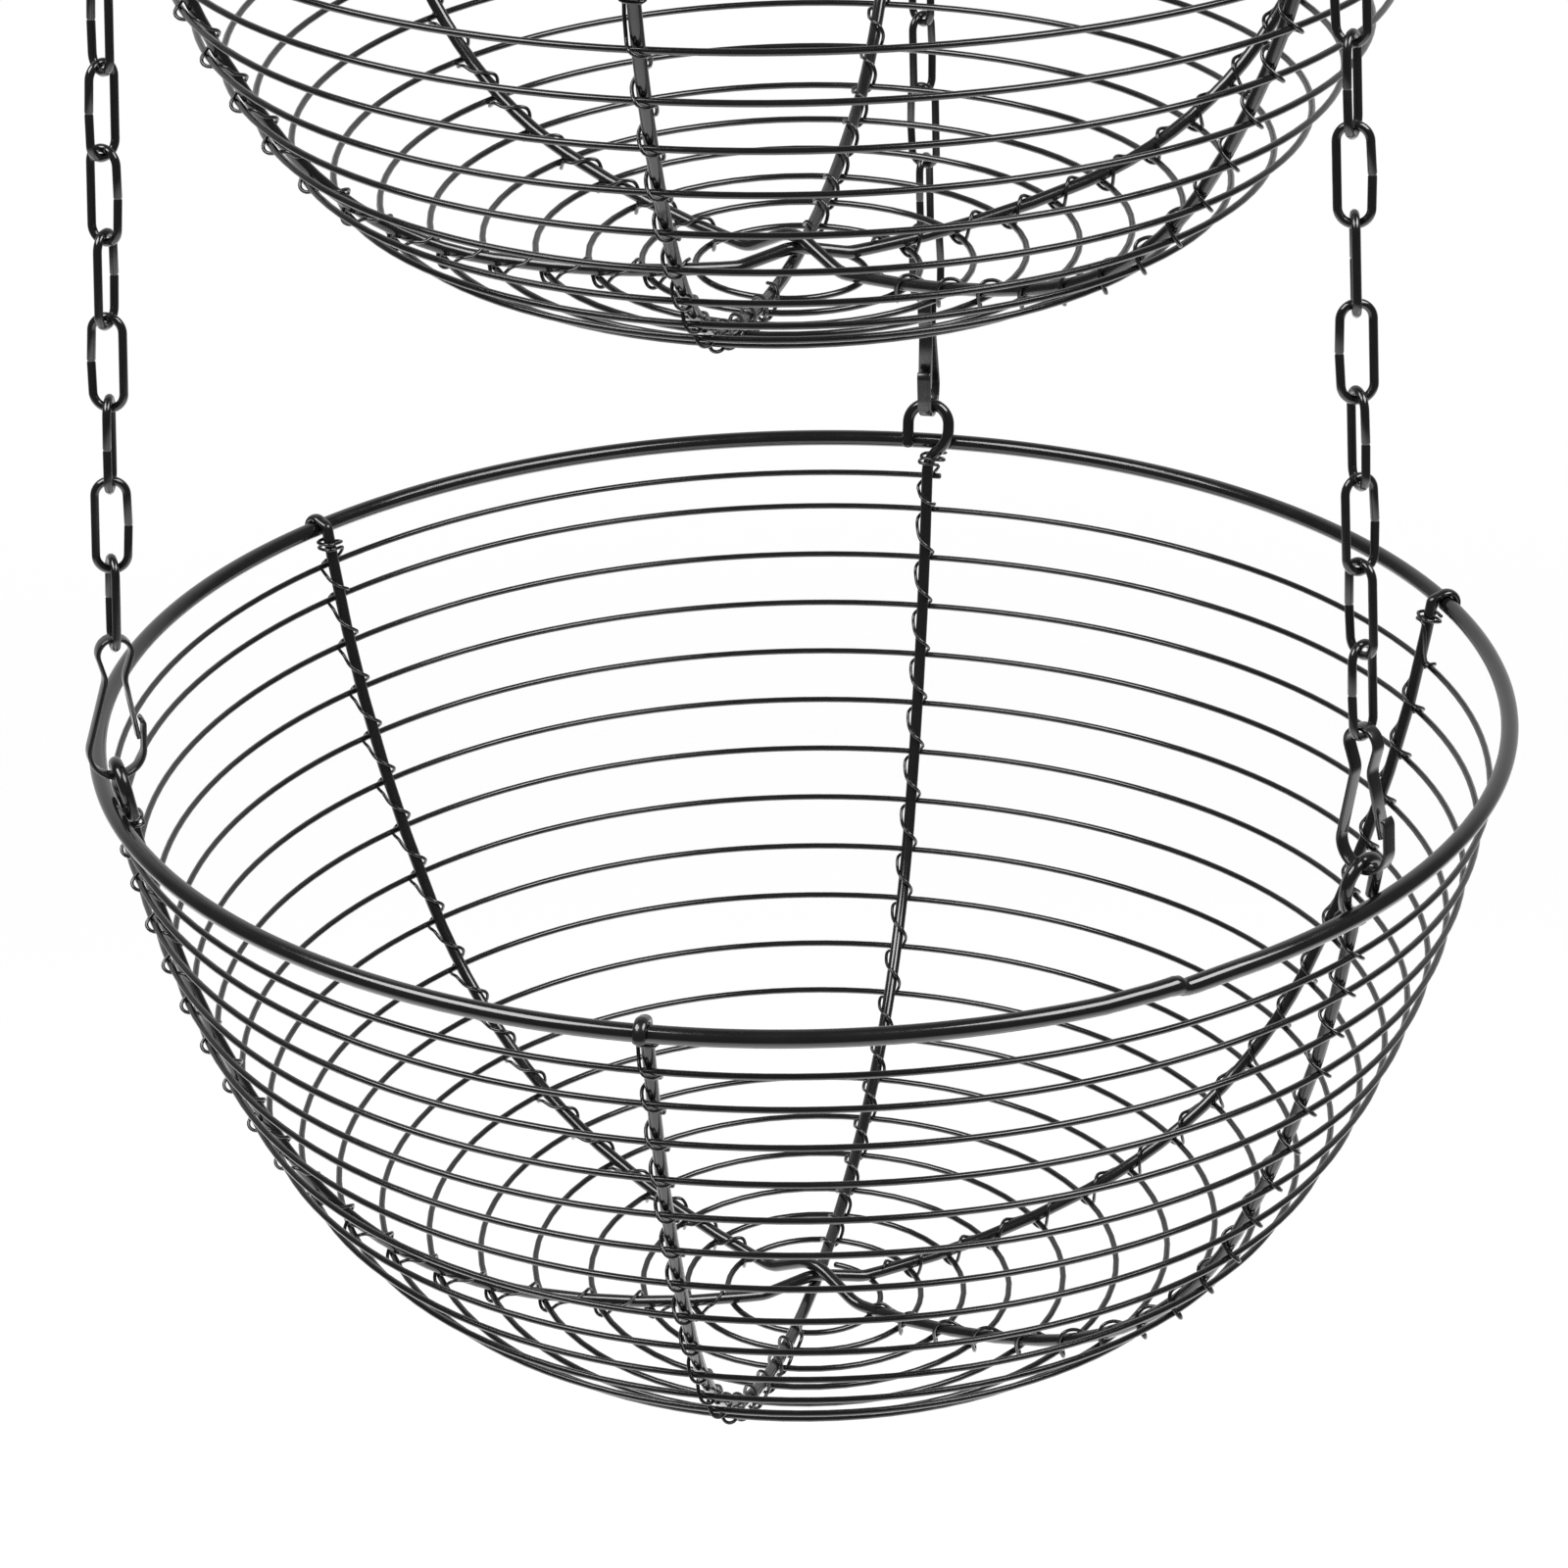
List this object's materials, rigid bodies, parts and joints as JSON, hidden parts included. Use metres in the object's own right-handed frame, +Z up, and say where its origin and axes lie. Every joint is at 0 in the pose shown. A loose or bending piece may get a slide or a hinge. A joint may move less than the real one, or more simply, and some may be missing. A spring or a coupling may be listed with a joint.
{
  "type": "hanging wire fruit basket",
  "caption": "Two wire bowls hung one below the other on chains from a ring and an S-hook; each bowl has crossed ribs, a spiral of thin wire and a thick rim.",
  "frame": {"origin": "bearing point at the top of the inside of the S-hook's upper bend, where it hangs on a ceiling hook or rod", "axes": "+Z up; the S-hook and the top ring lie in the XZ plane; -Y is the front, which the picture shows"},
  "size_m": [0.304, 0.304, 0.6761],
  "materials": {
    "fittings": "gloss black enamel on round steel wire",
    "chain_wire": "gloss black enamel on thin chain wire",
    "clip_strip": "gloss black enamel on flat spring strip",
    "rim_wire": "gloss black enamel on thick steel wire",
    "rib_wire": "gloss black enamel on steel wire",
    "spiral_wire": "gloss black enamel on thin steel wire",
    "binding_wire": "gloss black enamel on fine binding wire"
  },
  "bodies": {
    "hook": {"s_hook": "fittings"},
    "joiner": {"connecting_link": "fittings"},
    "upper_tier": {"top_ring": "fittings", "upper_chain_1": "chain_wire", "upper_chain_2": "chain_wire", "upper_chain_3": "chain_wire", "upper_clip_1": "clip_strip", "upper_clip_2": "clip_strip", "upper_clip_3": "clip_strip", "upper_rim": "rim_wire", "upper_rib_a": "rib_wire", "upper_rib_b": "rib_wire", "upper_rib_c": "rib_wire", "upper_spiral": "spiral_wire", "upper_binding_1": "binding_wire", "upper_binding_2": "binding_wire", "upper_binding_3": "binding_wire", "upper_binding_4": "binding_wire", "upper_binding_5": "binding_wire", "upper_binding_6": "binding_wire", "top_link_1": "chain_wire", "top_link_2": "chain_wire", "top_link_3": "chain_wire"},
    "pivot_1": {"pivot_link_1": "chain_wire"},
    "pivot_2": {"pivot_link_2": "chain_wire"},
    "pivot_3": {"pivot_link_3": "chain_wire"},
    "chain_1": {"lower_chain_1": "chain_wire"},
    "chain_2": {"lower_chain_2": "chain_wire"},
    "chain_3": {"lower_chain_3": "chain_wire"},
    "swivel_1": {"swivel_link_1": "chain_wire"},
    "swivel_2": {"swivel_link_2": "chain_wire"},
    "swivel_3": {"swivel_link_3": "chain_wire"},
    "lower_tier": {"end_link_1": "chain_wire", "end_link_2": "chain_wire", "end_link_3": "chain_wire", "lower_clip_1": "clip_strip", "lower_clip_2": "clip_strip", "lower_clip_3": "clip_strip", "lower_rim": "rim_wire", "lower_rib_a": "rib_wire", "lower_rib_b": "rib_wire", "lower_rib_c": "rib_wire", "lower_spiral": "spiral_wire", "lower_binding_1": "binding_wire", "lower_binding_2": "binding_wire", "lower_binding_3": "binding_wire", "lower_binding_4": "binding_wire", "lower_binding_5": "binding_wire", "lower_binding_6": "binding_wire"}
  },
  "joints": [
    {"name": "link_swing", "type": "hinge", "parent": "hook", "child": "joiner", "pos_m": [0, 0, -0.034], "axis": [1, 0, 0], "range_deg": [-20, 20]},
    {"name": "ring_swing", "type": "hinge", "parent": "joiner", "child": "upper_tier", "pos_m": [0, 0, -0.0544], "axis": [0, 1, 0], "range_deg": [-20, 20]},
    {"name": "sway_x_1", "type": "hinge", "parent": "upper_tier", "child": "pivot_1", "pos_m": [0.02877, 0.13439, -0.33004], "axis": [1, 0, 0], "range_deg": [-11, 11]},
    {"name": "sway_y_1", "type": "hinge", "parent": "pivot_1", "child": "chain_1", "pos_m": [0.02896, 0.13526, -0.34752], "axis": [0, 1, 0], "range_deg": [-11, 11]},
    {"name": "level_y_1", "type": "hinge", "parent": "chain_1", "child": "swivel_1", "pos_m": [0.03012, 0.14052, -0.45238], "axis": [0, 1, 0], "range_deg": [-11, 11]},
    {"name": "sway_x_2", "type": "hinge", "parent": "upper_tier", "child": "pivot_2", "pos_m": [-0.13362, -0.04345, -0.33004], "axis": [1, 0, 0], "range_deg": [-11, 11]},
    {"name": "sway_y_2", "type": "hinge", "parent": "pivot_2", "child": "chain_2", "pos_m": [-0.13447, -0.04372, -0.34752], "axis": [0, 1, 0], "range_deg": [-11, 11]},
    {"name": "level_y_2", "type": "hinge", "parent": "chain_2", "child": "swivel_2", "pos_m": [-0.1396, -0.04535, -0.45238], "axis": [0, 1, 0], "range_deg": [-11, 11]},
    {"name": "sway_x_3", "type": "hinge", "parent": "upper_tier", "child": "pivot_3", "pos_m": [0.10159, -0.09516, -0.33004], "axis": [1, 0, 0], "range_deg": [-11, 11]},
    {"name": "sway_y_3", "type": "hinge", "parent": "pivot_3", "child": "chain_3", "pos_m": [0.10225, -0.09577, -0.34752], "axis": [0, 1, 0], "range_deg": [-11, 11]},
    {"name": "level_y_3", "type": "hinge", "parent": "chain_3", "child": "swivel_3", "pos_m": [0.10622, -0.0994, -0.45238], "axis": [0, 1, 0], "range_deg": [-11, 11]},
    {"name": "level_x", "type": "hinge", "parent": "swivel_1", "child": "lower_tier", "pos_m": [0.03031, 0.14138, -0.46963], "axis": [1, 0, 0], "range_deg": [-11, 11]}
  ],
  "couplings": [
    {"joint": "sway_x_2", "follows": "sway_x_1", "ratio": 1},
    {"joint": "sway_y_2", "follows": "sway_y_1", "ratio": 1},
    {"joint": "sway_x_3", "follows": "sway_x_1", "ratio": 1},
    {"joint": "sway_y_3", "follows": "sway_y_1", "ratio": 1},
    {"joint": "level_y_1", "follows": "sway_y_1", "ratio": -0.96297},
    {"joint": "level_y_2", "follows": "sway_y_1", "ratio": -0.96297},
    {"joint": "level_y_3", "follows": "sway_y_1", "ratio": -0.96297},
    {"joint": "level_x", "follows": "sway_x_1", "ratio": -0.95101}
  ]
}
